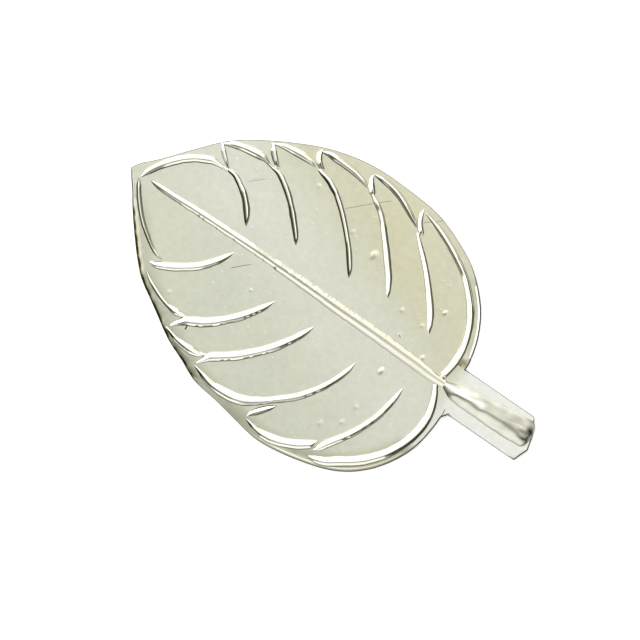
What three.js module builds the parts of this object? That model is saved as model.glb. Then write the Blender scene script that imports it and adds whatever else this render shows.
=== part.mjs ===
// A basil leaf in sheet silver: a flat pointed blade with a stem tab, and half-round wires soldered on it
// for the midrib, the side veins, the scalloped margin and the stem. Millimetres, +Z up, face up, with the
// stem toward +X and the tip toward -X.
import * as THREE from 'three';

// Blade, from the tip to the root of the stem tab
const BLADE_LENGTH = 32;
const UPPER_HALF_WIDTH = 11.5; // midrib to the widest point on the +Y side
const LOWER_HALF_WIDTH = 12.7; // midrib to the widest point on the -Y side
const SHEET_THICKNESS = 0.35;

// Stem tab, cut in one with the blade
const TAB_LENGTH = 8;
const TAB_WIDTH = 3.9;
const TAB_SHIFT = -0.1; // the tab's centre line, off the midrib's
const TAB_NOSE_SHIFT = -0.65; // the foremost point of its end, off the tab's centre line
const TAB_LOWER_SLANT = 0.5; // how far the end falls back from that point to the lower corner
const TAB_UPPER_SLANT = 0.37; // how far it falls back to the cut across the upper corner
const TAB_CORNER_LENGTH = 1.1; // where the cut starts on the upper side, back from the end
const TAB_CORNER_DEPTH = 1.1; // where it reaches the end, down from the upper side

// Half-round wires, flat side down on the blade
const UPPER_VEIN_WIDTH = 0.55;
const LOWER_VEIN_WIDTH = 0.72;
const VEIN_HEIGHT = 0.28;
const VEIN_POINT_LENGTH = 2.6; // an inner end narrows to its point over this length
const MARGIN_WIDTH = 0.72;
const MARGIN_HEIGHT = 0.28;
const MARGIN_TAIL_LENGTH = 2; // a margin stroke's inner end narrows over this length
const HEAD_LENGTH = 0.9; // an end at the margin narrows over this length
const UPPER_NECK_LENGTHS = [1.8, 1.8, 1.4, 1, 1.4]; // from a vein's head to where the stroke before it ends
const LOWER_NECK_LENGTH = 1.1;
const SPUR_WIDTH = 0.5; // the short stroke beside the fourth lower vein
const POINT_SHARE = 0.22; // the share of its section that a wire keeps at a narrowed end
const SOLDER_GAP = 0.1; // clear space between one wire and the next

// Midrib, a straight wire that widens toward the stem
const MIDRIB_TIP_WIDTH = 0.5;
const MIDRIB_BASE_WIDTH = 0.92;
const MIDRIB_HEIGHT = 0.34;
const MIDRIB_END_SHIFT = -0.1; // its end at the stem, off the line through the tip
const MIDRIB_ROUND_LENGTH = 0.4; // its end at the stem is rounded over this length
const MIDRIB_ROUND_SHARE = 0.5; // the share of its section that it keeps there

// Ridge along the stem tab
const RIDGE_WIDTH = 2.3;
const RIDGE_HEIGHT = 0.8;
const RIDGE_SHIFT = 0.15; // the ridge's centre line, off the midrib's
const RIDGE_ROOT_SHARE = 0.5; // the share of its section that the ridge has at its root
const RIDGE_ROOT_LENGTH = 2.2;
const RIDGE_END_LENGTH = 0.7; // its outer end is rounded off over this length
const RIDGE_END_SHARE = 0.6; // the share of its section that it keeps there
const RIDGE_END_MARGIN = 0.55; // bare tab past the ridge's outer end

// Where lines start and end, in percent of the blade's length or as a share of another wire's length
const MIDRIB_START_PERCENT = 5.2;
const MIDRIB_END_PERCENT = 98.3;
const TIP_PERCENT = -0.6; // the very tip, ahead of the place that the pattern is measured from
const TAB_ROOT_PERCENT = 102.9; // the lower corner between the blade and the tab
const TIP_STROKES_PERCENT = 3;
const LAST_STROKES_SHARE = 0.98; // along the midrib
const SPUR_BEND_SHARE = 0.421; // along the fourth lower vein
const SPUR_END_SHARE = 0.491;

// Fineness of the mesh
const OUTLINE_STEPS = 44; // straight steps along each side of the blade
const WIRE_STEP = 0.55; // length of one step along a wire
const ARC_SEGMENTS = 3; // a wire's half-round section has twice as many flats

// A place on the blade: percent of its length from the tip, and percent of the half-width on that side.
function onBlade(along, across) {
  const halfWidth = across > 0 ? UPPER_HALF_WIDTH : LOWER_HALF_WIDTH;
  return new THREE.Vector3((along / 100) * BLADE_LENGTH, (across / 100) * halfWidth, SHEET_THICKNESS);
}

const places = (list) => list.map(([along, across]) => onBlade(along, across));

function smoothLine(points) {
  return new THREE.CatmullRomCurve3(points, false, 'centripetal');
}

// The edge of the blade on each half, from the tip to the root of the tab.
const UPPER_EDGE_PERCENT = [[-0.2, 3], [1.1, 7.7], [3.3, 13.3], [9.2, 33], [16.1, 54.8], [22, 67],
  [31, 81.5], [38, 90.5], [45, 96.5], [53, 99.7], [61, 99.5], [71.5, 97], [79, 90], [86.8, 79],
  [94.5, 58.5], [98.6, 37], [100, 21]];
const LOWER_EDGE_PERCENT = [[0.5, -4.3], [3, -11.8], [4.8, -18.7], [8.6, -31], [13, -44], [17.8, -56],
  [23, -64], [28.5, -72.8], [30.5, -76], [33, -79.5], [39, -85.5], [43.5, -91], [51, -93.6], [60, -97.8],
  [65.4, -100], [77.4, -95.8], [88, -86.6], [95, -72], [100, -51], [101.6, -32], [101.75, -20]];

// The hand-cut edge runs round the leaf: tip, lower side, tab, upper side.
function bladeOutline() {
  const tip = onBlade(TIP_PERCENT, 0);
  const tabTop = TAB_SHIFT + TAB_WIDTH / 2;
  const tabBottom = TAB_SHIFT - TAB_WIDTH / 2;
  const tabEnd = BLADE_LENGTH + TAB_LENGTH;
  const side = (edge) => smoothLine([tip, ...places(edge)]);
  const tab = [
    [onBlade(TAB_ROOT_PERCENT, 0).x, tabBottom],
    [tabEnd - TAB_LOWER_SLANT, tabBottom],
    [tabEnd, TAB_SHIFT + TAB_NOSE_SHIFT],
    [tabEnd - TAB_UPPER_SLANT, tabTop - TAB_CORNER_DEPTH],
    [tabEnd - TAB_CORNER_LENGTH, tabTop],
    [BLADE_LENGTH, tabTop],
  ].map(([x, y]) => new THREE.Vector2(x, y));
  const lower = side(LOWER_EDGE_PERCENT).getSpacedPoints(OUTLINE_STEPS);
  const upper = side(UPPER_EDGE_PERCENT).getSpacedPoints(OUTLINE_STEPS).reverse();
  const flat = (point) => new THREE.Vector2(point.x, point.y);
  return new THREE.Shape([...lower.map(flat), ...tab, ...upper.slice(0, -1).map(flat)]);
}

// The share of its full section that a wire has at a place along it, from 0 at its head to 1 at its tail.
function sectionShare(wire, place) {
  const length = wire.line.getLength();
  const narrowed = (distance, taper, share) => {
    const risen = Math.min(1, distance / taper);
    return share + (1 - share) * Math.sin((risen * Math.PI) / 2);
  };
  const atHead = narrowed(place * length, wire.headLength, wire.headShare);
  const atTail = narrowed((1 - place) * length, wire.tailLength, wire.tailShare);
  return Math.min(atHead, atTail);
}

function fullWidth(wire, place) {
  return THREE.MathUtils.lerp(wire.headWidth, wire.tailWidth, place);
}

function halfWidthAt(wire, place) {
  return (fullWidth(wire, place) / 2) * sectionShare(wire, place);
}

// The direction across a wire: to its left, seen from above and looking along it.
function leftOf(wire, place) {
  const forward = wire.line.getTangentAt(place);
  return new THREE.Vector3(-forward.y, forward.x, 0).normalize();
}

// Where the narrowed end of another wire lies clear of this one: side 1 is its left, side -1 its right.
function beside(wire, place, side, endWidth) {
  const reach = halfWidthAt(wire, place) + SOLDER_GAP + endWidth / 2;
  return wire.line.getPointAt(place).addScaledVector(leftOf(wire, place), side * reach);
}

// A half-round bar of unit size, bent along the wire's line and scaled to its section at each step.
function wireGeometry(wire) {
  const section = new THREE.Shape().absarc(0, 0, 1, 0, Math.PI, false);
  const steps = Math.ceil(wire.line.getLength() / WIRE_STEP);
  const geometry = new THREE.ExtrudeGeometry(section, {
    depth: 1, steps, curveSegments: ARC_SEGMENTS, bevelEnabled: false,
  });
  const position = geometry.getAttribute('position');
  for (let i = 0; i < position.count; i += 1) {
    const place = THREE.MathUtils.clamp(position.getZ(i), 0, 1);
    const across = position.getX(i) * halfWidthAt(wire, place);
    const height = position.getY(i) * wire.height * sectionShare(wire, place);
    const point = wire.line.getPointAt(place).addScaledVector(leftOf(wire, place), across);
    position.setXYZ(i, point.x, point.y, SHEET_THICKNESS + height);
  }
  geometry.computeVertexNormals();
  return geometry;
}

function veinWire(width, points) {
  return {
    line: smoothLine(points), headWidth: width, tailWidth: width, height: VEIN_HEIGHT,
    headLength: HEAD_LENGTH, headShare: POINT_SHARE, tailLength: VEIN_POINT_LENGTH, tailShare: POINT_SHARE,
  };
}

function marginWire(points, width = MARGIN_WIDTH) {
  return {
    line: smoothLine(points), headWidth: width, tailWidth: width, height: MARGIN_HEIGHT,
    headLength: HEAD_LENGTH, headShare: POINT_SHARE, tailLength: MARGIN_TAIL_LENGTH, tailShare: POINT_SHARE,
  };
}

function midribWire() {
  const start = onBlade(MIDRIB_START_PERCENT, 0);
  const end = onBlade(MIDRIB_END_PERCENT, 0).setY(MIDRIB_END_SHIFT);
  return {
    line: smoothLine([start, end]), headWidth: MIDRIB_TIP_WIDTH, tailWidth: MIDRIB_BASE_WIDTH,
    height: MIDRIB_HEIGHT, headLength: VEIN_POINT_LENGTH, headShare: POINT_SHARE,
    tailLength: MIDRIB_ROUND_LENGTH, tailShare: MIDRIB_ROUND_SHARE,
  };
}

function ridgeWire(midrib) {
  const root = midrib.line.getPointAt(1).x + SOLDER_GAP;
  const end = BLADE_LENGTH + TAB_LENGTH - RIDGE_END_MARGIN;
  const onTab = (x) => new THREE.Vector3(x, RIDGE_SHIFT, SHEET_THICKNESS);
  return {
    line: smoothLine([onTab(root), onTab(end)]), headWidth: RIDGE_WIDTH, tailWidth: RIDGE_WIDTH,
    height: RIDGE_HEIGHT, headLength: RIDGE_ROOT_LENGTH, headShare: RIDGE_ROOT_SHARE,
    tailLength: RIDGE_END_LENGTH, tailShare: RIDGE_END_SHARE,
  };
}

const pointOf = (width) => width * POINT_SHARE;
const midrib = midribWire();
const wires = { midrib, stem_ridge: ridgeWire(midrib) };

// The two strokes at the tip start to either side of the midrib's line, ahead of the midrib.
function besideTip(side) {
  return onBlade(TIP_STROKES_PERCENT, 0).setY((side * (SOLDER_GAP + pointOf(MARGIN_WIDTH))) / 2);
}

// The narrowed end of a stroke: beside a vein's head, beside its neck, or beside the midrib near the stem.
const besideHead = (vein, side, width) => beside(vein, 0, side, pointOf(width));
const besideStem = (side) => beside(midrib, LAST_STROKES_SHARE, side, pointOf(MARGIN_WIDTH));
function besideNeck(vein, neckLength, side) {
  return beside(vein, neckLength / vein.line.getLength(), side, pointOf(MARGIN_WIDTH));
}

// Upper half: each vein starts as a hook at the margin and bends inward.
const UPPER_VEINS_PERCENT = [
  [[15.6, 50], [18.2, 44], [21.5, 40], [25.7, 34.9], [29.4, 25.1], [32.4, 14.7]],
  [[26, 71.3], [28.5, 64.2], [32.7, 56.6], [38.9, 43.1], [42.8, 32.3], [45.4, 22.6]],
  [[37.6, 86.5], [38.6, 80.5], [41, 76.2], [45, 71], [51.3, 56.5], [56.3, 42.6], [59.2, 33.9], [61, 24.3]],
  [[52.3, 92], [53.2, 86.5], [55, 81.5], [57.8, 77], [62.2, 66], [66.9, 51.3], [70.9, 38.3], [72.8, 28.3]],
  [[67.8, 92], [68.8, 85], [70.3, 77], [74, 66.4], [80, 48.5], [83.8, 37.4], [85.6, 30.4], [86.9, 22.6]],
];
const upperVeins = UPPER_VEINS_PERCENT.map((list) => veinWire(UPPER_VEIN_WIDTH, places(list)));

// Upper margin: each stroke runs from the head of one vein to the neck of the next, and the last to the stem.
const UPPER_MARGINS_PERCENT = [
  [[4.9, 11.5], [8, 23], [12, 31.3], [16, 36.5]],
  [[19.1, 56], [23.2, 58.3]],
  [[29.7, 74.5], [33.1, 76.2]],
  [[41.3, 88.6], [45.7, 88.4], [49, 87]],
  [[55.5, 94.3], [59.8, 92.5], [63.7, 89.1], [66.4, 85]],
  [[72, 91], [78.5, 83.5], [85.9, 72], [90.9, 58], [94.9, 41.5], [96.2, 32], [96.8, 22], [96.7, 13]],
];
upperVeins.forEach((vein, i) => {
  wires[`upper_vein_${i + 1}`] = vein;
});
UPPER_MARGINS_PERCENT.forEach((list, i) => {
  const head = i > 0 ? besideHead(upperVeins[i - 1], 1, MARGIN_WIDTH) : besideTip(1);
  const tail = i < upperVeins.length ? besideNeck(upperVeins[i], UPPER_NECK_LENGTHS[i], -1) : besideStem(1);
  wires[`upper_margin_${i + 1}`] = marginWire([head, ...places(list), tail]);
});

// Lower half: the first three veins and the last one start at the margin as the upper ones do.
const LOWER_VEINS_PERCENT = [
  [[17.4, -44.4], [19.5, -42.3], [24.5, -34.6], [29.4, -24], [31.7, -16.5], [33.3, -9.8]],
  [[30.2, -71.2], [31.5, -66.4], [33.8, -61], [38.9, -53], [44.6, -40.7], [47.3, -30.3], [49.1, -21.1]],
  [[41.9, -81.3], [42.8, -76.8], [44.4, -72.2], [47, -67], [53.5, -51.6], [58.6, -33.7], [60.7, -22]],
];
const LAST_VEIN_PERCENT = [[79.6, -84], [81.9, -75.8], [85.7, -57], [88.3, -38.1], [89.4, -20.5]];
const lowerVeins = LOWER_VEINS_PERCENT.map((list) => veinWire(LOWER_VEIN_WIDTH, places(list)));
const lastVein = veinWire(LOWER_VEIN_WIDTH, places(LAST_VEIN_PERCENT));

const LOWER_MARGINS_PERCENT = [
  [[4.7, -10.4], [9.7, -24.6], [14.2, -34.4]],
  [[21.6, -56.2], [25.5, -60], [29, -61.5]],
  [[34.3, -76.1], [37.9, -75.9]],
];
lowerVeins.forEach((vein, i) => {
  const head = i > 0 ? besideHead(lowerVeins[i - 1], -1, MARGIN_WIDTH) : besideTip(-1);
  const tail = besideNeck(vein, LOWER_NECK_LENGTH, 1);
  wires[`lower_vein_${i + 1}`] = vein;
  wires[`lower_margin_${i + 1}`] = marginWire([head, ...places(LOWER_MARGINS_PERCENT[i]), tail]);
});

// The fourth vein runs on from its margin stroke without a break, and a short spur stands beside it.
const LONG_VEIN_PERCENT = [[45.9, -84.6], [53.4, -85.2], [59.1, -80.7], [63.7, -72.4], [68, -62],
  [72.4, -45.3], [75.6, -23.9]];
const SPUR_HEAD_PERCENT = [60.3, -89.3];
const longVein = veinWire(LOWER_VEIN_WIDTH, [
  besideHead(lowerVeins[2], -1, LOWER_VEIN_WIDTH), ...places(LONG_VEIN_PERCENT),
]);
const spur = marginWire([
  onBlade(...SPUR_HEAD_PERCENT),
  beside(longVein, SPUR_BEND_SHARE, -1, SPUR_WIDTH),
  beside(longVein, SPUR_END_SHARE, -1, pointOf(SPUR_WIDTH)),
], SPUR_WIDTH);
wires.lower_vein_4 = longVein;
wires.lower_spur_4 = spur;

// The last two margin strokes lie to either side of the last vein.
const FIFTH_MARGIN_PERCENT = [[64.8, -94.8], [68.5, -93.6], [71.8, -91.2], [75.2, -86.6]];
const SIXTH_MARGIN_PERCENT = [[79.4, -89.1], [82.6, -87.2], [86.7, -80.2], [92.1, -68.8], [97.1, -54.2],
  [99.2, -39.6], [98.6, -21.7], [97.6, -12]];
wires.lower_margin_5 = marginWire([
  besideHead(spur, -1, MARGIN_WIDTH), ...places(FIFTH_MARGIN_PERCENT),
  besideNeck(lastVein, LOWER_NECK_LENGTH, 1),
]);
wires.lower_vein_5 = lastVein;
wires.lower_margin_6 = marginWire([
  ...places(SIXTH_MARGIN_PERCENT), besideStem(-1),
]);

const SHEET_SILVER = { color: 0xd6d9cd, roughness: 0.28, metalness: 1 };
const WIRE_SILVER = { color: 0xe4e5da, roughness: 0.18, metalness: 1 };

const blade = new THREE.Mesh(
  new THREE.ExtrudeGeometry(bladeOutline(), { depth: SHEET_THICKNESS, bevelEnabled: false }),
  new THREE.MeshStandardMaterial(SHEET_SILVER),
);
blade.name = 'blade';

const leaf = new THREE.Group();
leaf.add(blade);
for (const [name, wire] of Object.entries(wires)) {
  const mesh = new THREE.Mesh(wireGeometry(wire), new THREE.MeshStandardMaterial(WIRE_SILVER));
  mesh.name = name;
  leaf.add(mesh);
}

// The origin lies under the middle of the leaf, on the surface that it rests on.
const middle = new THREE.Box3().setFromObject(leaf).getCenter(new THREE.Vector3());
leaf.position.set(-middle.x, -middle.y, 0);

export default leaf;
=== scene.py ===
# %% [markdown]
# # A silver basil leaf
# The real object is a votive leaf about 40 mm long. It is cut from thin sheet silver in one piece with a
# flat stem tab, and its midrib, side veins and scalloped margin stand on the face as half-round lines.
# The measured solids come first. They fix where every line runs, and this lesson gives each of them the
# surface that hand work and polish give the real one.

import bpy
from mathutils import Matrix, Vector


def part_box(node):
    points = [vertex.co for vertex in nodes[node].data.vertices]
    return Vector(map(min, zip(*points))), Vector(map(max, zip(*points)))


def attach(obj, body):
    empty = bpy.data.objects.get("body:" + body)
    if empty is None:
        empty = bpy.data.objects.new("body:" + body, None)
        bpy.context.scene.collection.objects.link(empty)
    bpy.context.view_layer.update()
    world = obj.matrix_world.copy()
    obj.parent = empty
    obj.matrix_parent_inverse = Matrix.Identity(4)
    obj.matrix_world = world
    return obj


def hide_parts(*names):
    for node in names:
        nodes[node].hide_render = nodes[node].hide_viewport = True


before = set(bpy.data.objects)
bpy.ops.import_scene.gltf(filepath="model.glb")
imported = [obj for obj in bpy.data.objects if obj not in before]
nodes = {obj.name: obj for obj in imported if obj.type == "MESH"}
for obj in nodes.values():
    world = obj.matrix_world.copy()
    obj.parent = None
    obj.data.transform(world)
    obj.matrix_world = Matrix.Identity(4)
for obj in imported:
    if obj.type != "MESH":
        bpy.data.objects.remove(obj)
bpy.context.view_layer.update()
MM = 0.001

# %% Directions and the face of the sheet
import math
import random
from collections import namedtuple

import bmesh
import bpy
from mathutils import Matrix, Vector, noise
from mathutils.geometry import interpolate_bezier
from mathutils.kdtree import KDTree

UP = Vector((0, 0, 1))
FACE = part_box("blade")[1].z
print("the worked face lies", round(FACE / MM, 2), "mm above the table")

# %% [markdown]
# ## The camera
# The leaf was photographed from almost straight above, lying with its tip to the upper left. A camera can
# be turned with angles, but its three axes say more: the picture's right and upward directions are written
# as they lie on the leaf, and the third axis points up at the lens.

# %% A camera straight above the leaf
RIGHT = Vector((0.824, 0.566, 0)).normalized()
UPWARD = UP.cross(RIGHT)
VIEW_CENTRE = Vector((-0.12, -0.97, 0)) * MM
VIEW_WIDTH = 52.8 * MM
VIEW_DISTANCE = 300 * MM

camera_data = bpy.data.cameras.new("camera")
camera_data.lens = camera_data.sensor_width * VIEW_DISTANCE / VIEW_WIDTH
camera = bpy.data.objects.new("camera", camera_data)
camera.matrix_world = Matrix((RIGHT, UPWARD, UP)).transposed().to_4x4()
camera.location = VIEW_CENTRE + UP * (FACE + VIEW_DISTANCE)
bpy.context.scene.collection.objects.link(camera)
bpy.context.scene.camera = camera
print("lens", round(camera_data.lens, 1), "mm")

# %% [markdown]
# ## Colour and nodes
# Colours are written as a colour picker shows them, and one function turns them to the linear values that
# the renderer works in. A second function adds a node, sets it and links it, so that a material can be read
# from top to bottom as a list of its nodes.


# %% Helpers for materials
def linear(hex_colour):
    """A colour picker's hex value as linear red, green, blue and alpha."""
    channels = [int(hex_colour[i:i + 2], 16) / 255 for i in (1, 3, 5)]
    return [c / 12.92 if c <= 0.04045 else ((c + 0.055) / 1.055) ** 2.4 for c in channels] + [1.0]


def add_node(tree, kind, settings=None, inputs=None):
    """A node of one kind, with its settings, and its inputs as values or as outputs of other nodes."""
    node = tree.nodes.new(kind)
    for name, value in (settings or {}).items():
        setattr(node, name, value)
    for key, value in (inputs or {}).items():
        if isinstance(value, bpy.types.NodeSocket):
            tree.links.new(value, node.inputs[key])
        else:
            node.inputs[key].default_value = value
    return node


def new_material(name):
    material = bpy.data.materials.new(name)
    material.use_nodes = True
    material.node_tree.nodes.clear()
    return material, material.node_tree


# The Mix node's sockets for colours have the same names as those for numbers, so they go by their places.
FIRST, SECOND, MIXED = 6, 7, 2
COLOURS = {"data_type": "RGBA"}
SMOOTH = {"interpolation_type": "SMOOTHSTEP"}
print("white is", [round(c, 2) for c in linear("#FFFFFF")])

# %% [markdown]
# ## Sheet silver
# The blade is sheet silver that was rolled, pressed flat and wiped, so it is a satin mirror: it shows the
# light above it, a little blurred. One half is warm: straw tarnish in patches, with a painted warm
# reflection.
# A thumb has wiped a band along the middle, and the stem tab is paler. Acid has left a fine frost, and
# handling some scratches and a few specks that stand up. Silver is a metal, so its colour is the colour of
# its reflection, and tarnish darkens that. Where painted shade and tarnish lie is measured on the mesh
# further down, and carried there as an attribute.

# %% Sheet silver, satin: its colours
TARNISH_PATCH = 6 * MM
WARM_SIDE = (RIGHT + 0.75 * UPWARD).normalized()
WARM_START, WARM_FULL = 1.5 * MM, 8 * MM
LEAST_WARMTH = 0.3
HANDLED_ACROSS = Vector((0.35, 0.94, 0))
BAND_INSIDE, BAND_OUTSIDE = 0.5 * MM, 6 * MM
HANDLED_SHARE = 0.8
PALER_START, PALER_FULL = 11.2 * MM, 13 * MM

sheet_silver, tree = new_material("sheet silver, satin")
place = add_node(tree, "ShaderNodeTexCoord").outputs["Object"]
# Straw tarnish in soft patches and a painted warm reflection, which turn one half of the leaf warm.
patches = add_node(tree, "ShaderNodeTexNoise", {}, {"Vector": place, "Scale": 1 / TARNISH_PATCH, "Detail": 3})
toward_warm = add_node(tree, "ShaderNodeVectorMath", {"operation": "DOT_PRODUCT"}, {0: place, 1: WARM_SIDE})
warm_side = add_node(tree, "ShaderNodeMapRange", SMOOTH,
                     {"Value": toward_warm.outputs["Value"], "From Min": WARM_START, "From Max": WARM_FULL,
                      "To Min": LEAST_WARMTH})
mottled = add_node(tree, "ShaderNodeMapRange", SMOOTH,
                   {"Value": patches.outputs["Fac"], "From Min": 0.38, "From Max": 0.62, "To Min": 0.72})
warmth = add_node(tree, "ShaderNodeMath", {"operation": "MULTIPLY"},
                  {0: warm_side.outputs["Result"], 1: mottled.outputs["Result"]})
silver = add_node(tree, "ShaderNodeMix", COLOURS,
                  {"Factor": warmth.outputs["Value"], FIRST: linear("#C8CBC1"), SECOND: linear("#C3C1A8")})
# The wiped band and the stem tab, which look paler.
across_band = add_node(tree, "ShaderNodeVectorMath", {"operation": "DOT_PRODUCT"},
                       {0: place, 1: HANDLED_ACROSS})
off_band = add_node(tree, "ShaderNodeMath", {"operation": "ABSOLUTE"}, {0: across_band.outputs["Value"]})
handled = add_node(tree, "ShaderNodeMapRange", SMOOTH,
                   {"Value": off_band.outputs["Value"], "From Min": BAND_INSIDE, "From Max": BAND_OUTSIDE,
                    "To Min": HANDLED_SHARE, "To Max": 0})
wiped = add_node(tree, "ShaderNodeMix", COLOURS,
                 {"Factor": handled.outputs["Result"], FIRST: silver.outputs[MIXED],
                  SECOND: linear("#CDCEC4")})
along = add_node(tree, "ShaderNodeSeparateXYZ", {}, {"Vector": place})
lighter_share = add_node(tree, "ShaderNodeMapRange", SMOOTH,
                  {"Value": along.outputs["X"], "From Min": PALER_START, "From Max": PALER_FULL})
paler = add_node(tree, "ShaderNodeMix", COLOURS,
                 {"Factor": lighter_share.outputs["Result"], FIRST: wiped.outputs[MIXED],
                  SECOND: linear("#DCDDD9")})
print(sheet_silver.name, "with", len(tree.nodes), "nodes so far")

# %% Sheet silver, satin: frost, and painted shade with tarnish
GRAIN = 0.5 * MM  # drawn coarser than the real frost, which no pixel would show
FROST = 0.04

# Frost, which keeps the face from looking like plastic.
grain = add_node(tree, "ShaderNodeTexNoise", {}, {"Vector": place, "Scale": 1 / GRAIN, "Detail": 4})
frost = add_node(tree, "ShaderNodeMapRange", {},
                 {"Value": grain.outputs["Fac"], "From Min": 0.3, "From Max": 0.7,
                  "To Min": 1 - FROST, "To Max": 1 + FROST})
frosted = add_node(tree, "ShaderNodeMix", {**COLOURS, "blend_type": "MULTIPLY"},
                   {"Factor": 1, FIRST: paler.outputs[MIXED], SECOND: frost.outputs["Result"]})
# Painted shade along the edge, at the rim and in the corner by the tab, with some tarnish: olive where it is
# faint, and almost black where it is deep.
edge = add_node(tree, "ShaderNodeAttribute", {"attribute_name": "painted_shade_and_tarnish"})
faint_darkening = add_node(tree, "ShaderNodeMapRange", {}, {"Value": edge.outputs["Fac"], "From Max": 0.5})
deep_darkening = add_node(tree, "ShaderNodeMapRange", {}, {"Value": edge.outputs["Fac"], "From Min": 0.5})
olive = add_node(tree, "ShaderNodeMix", COLOURS,
                 {"Factor": faint_darkening.outputs["Result"], FIRST: frosted.outputs[MIXED],
                  SECOND: linear("#8C8866")})
shaded_and_tarnished = add_node(tree, "ShaderNodeMix", COLOURS,
                     {"Factor": deep_darkening.outputs["Result"], FIRST: olive.outputs[MIXED],
                      SECOND: linear("#1E1812")})
print(sheet_silver.name, "with", len(tree.nodes), "nodes so far")

# %% Sheet silver, satin: scratches, specks and polish
SCRATCH_SPACING = 0.5 * MM  # real scratches lie closer, and would be lost between two pixels
SCRATCH_LENGTH = 9 * MM
SCRATCH_TURN = math.radians(44)
SCRATCH_SHARE = 0.6
RELIEF = 0.004 * MM
SPECK = 0.11 * MM
SPECK_ROOM = 1.1 * MM
SPECK_HEIGHT = 0.02 * MM
BARE_SHARE = 0.6
SMOOTHEST, ROUGHEST = 0.26, 0.4

# Scratches that run one way, and specks, which break the reflection here and there.
stretched = add_node(tree, "ShaderNodeMapping", {},
                     {"Vector": place, "Rotation": (0, 0, SCRATCH_TURN),
                      "Scale": (1 / SCRATCH_LENGTH, 1 / SCRATCH_SPACING, 1)})
scratches = add_node(tree, "ShaderNodeTexNoise", {},
                     {"Vector": stretched.outputs["Vector"], "Scale": 1, "Detail": 5})
relief = add_node(tree, "ShaderNodeMath", {"operation": "MULTIPLY_ADD"},
                  {0: scratches.outputs["Fac"], 1: SCRATCH_SHARE, 2: grain.outputs["Fac"]})
bump = add_node(tree, "ShaderNodeBump", {},
                {"Strength": 0.25, "Distance": RELIEF, "Height": relief.outputs["Value"]})
cells = add_node(tree, "ShaderNodeTexVoronoi", {"voronoi_dimensions": "2D"},
                 {"Vector": place, "Scale": 1 / SPECK_ROOM})
specks = add_node(tree, "ShaderNodeMapRange", SMOOTH,
                  {"Value": cells.outputs["Distance"], "From Max": SPECK / SPECK_ROOM,
                   "To Min": 1, "To Max": 0})
kept = add_node(tree, "ShaderNodeMath", {"operation": "GREATER_THAN"},
                {0: cells.outputs["Color"], 1: BARE_SHARE})
few = add_node(tree, "ShaderNodeMath", {"operation": "MULTIPLY"},
               {0: specks.outputs["Result"], 1: kept.outputs["Value"]})
pimpled = add_node(tree, "ShaderNodeBump", {},
                   {"Strength": 0.5, "Distance": SPECK_HEIGHT, "Height": few.outputs["Value"],
                    "Normal": bump.outputs["Normal"]})
# Satin that is a little smoother in some patches, so that the blur of the light changes over the face.
rough = add_node(tree, "ShaderNodeMapRange", {},
                 {"Value": patches.outputs["Fac"], "To Min": SMOOTHEST, "To Max": ROUGHEST})
shader = add_node(tree, "ShaderNodeBsdfPrincipled", {},
                  {"Base Color": shaded_and_tarnished.outputs[MIXED], "Metallic": 1,
                   "Roughness": rough.outputs["Result"], "Normal": pimpled.outputs["Normal"]})
add_node(tree, "ShaderNodeOutputMaterial", {}, {"Surface": shader.outputs["BSDF"]})
print(sheet_silver.name, "with", len(tree.nodes), "nodes")

# %% [markdown]
# ## The cut edge
# Shears leave the edge of the sheet torn and unpolished, so it holds tarnish, and the shade along it is
# painted in as well: from above it is the dark line round the leaf, widest on the left. The same silver is
# made darker and rougher there.

# %% Cut edge, oxidised, with painted shade
EDGE_GRAIN = 0.35 * MM
EDGE_ROUGHNESS = 0.4

cut_edge, tree = new_material("cut silver edge, oxide and painted shade")
place = add_node(tree, "ShaderNodeTexCoord").outputs["Object"]
# Two browns in small patches, so that the line round the leaf isn't drawn in one ink.
mottling = add_node(tree, "ShaderNodeTexNoise", {}, {"Vector": place, "Scale": 1 / EDGE_GRAIN, "Detail": 3})
# Near-black browns: oxide on the cut, with the shade along the edge painted in.
colour = add_node(tree, "ShaderNodeMix", COLOURS,
                  {"Factor": mottling.outputs["Fac"], FIRST: linear("#16110C"), SECOND: linear("#463E30")})
shader = add_node(tree, "ShaderNodeBsdfPrincipled", {},
                  {"Base Color": colour.outputs[MIXED], "Metallic": 1, "Roughness": EDGE_ROUGHNESS})
add_node(tree, "ShaderNodeOutputMaterial", {}, {"Surface": shader.outputs["BSDF"]})
print(cut_edge.name, "with", len(tree.nodes), "nodes")

# %% [markdown]
# ## Silver wire
# The raised lines are drawn half-round wire, brighter and smoother than the sheet, with faint marks of the
# polish along them. Tarnish in the corner where a wire meets the sheet, and the shade that falls there, are
# painted as a thin dark line, lighter on the sides turned to the light. The stem ridge is the same silver,
# dulled by the fingers that hold it.

# %% Half-round silver wire, bright, with painted shade and tarnish at its foot
POLISH_MARK = 0.5 * MM  # drawn coarser than the real marks, which no pixel would show


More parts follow.
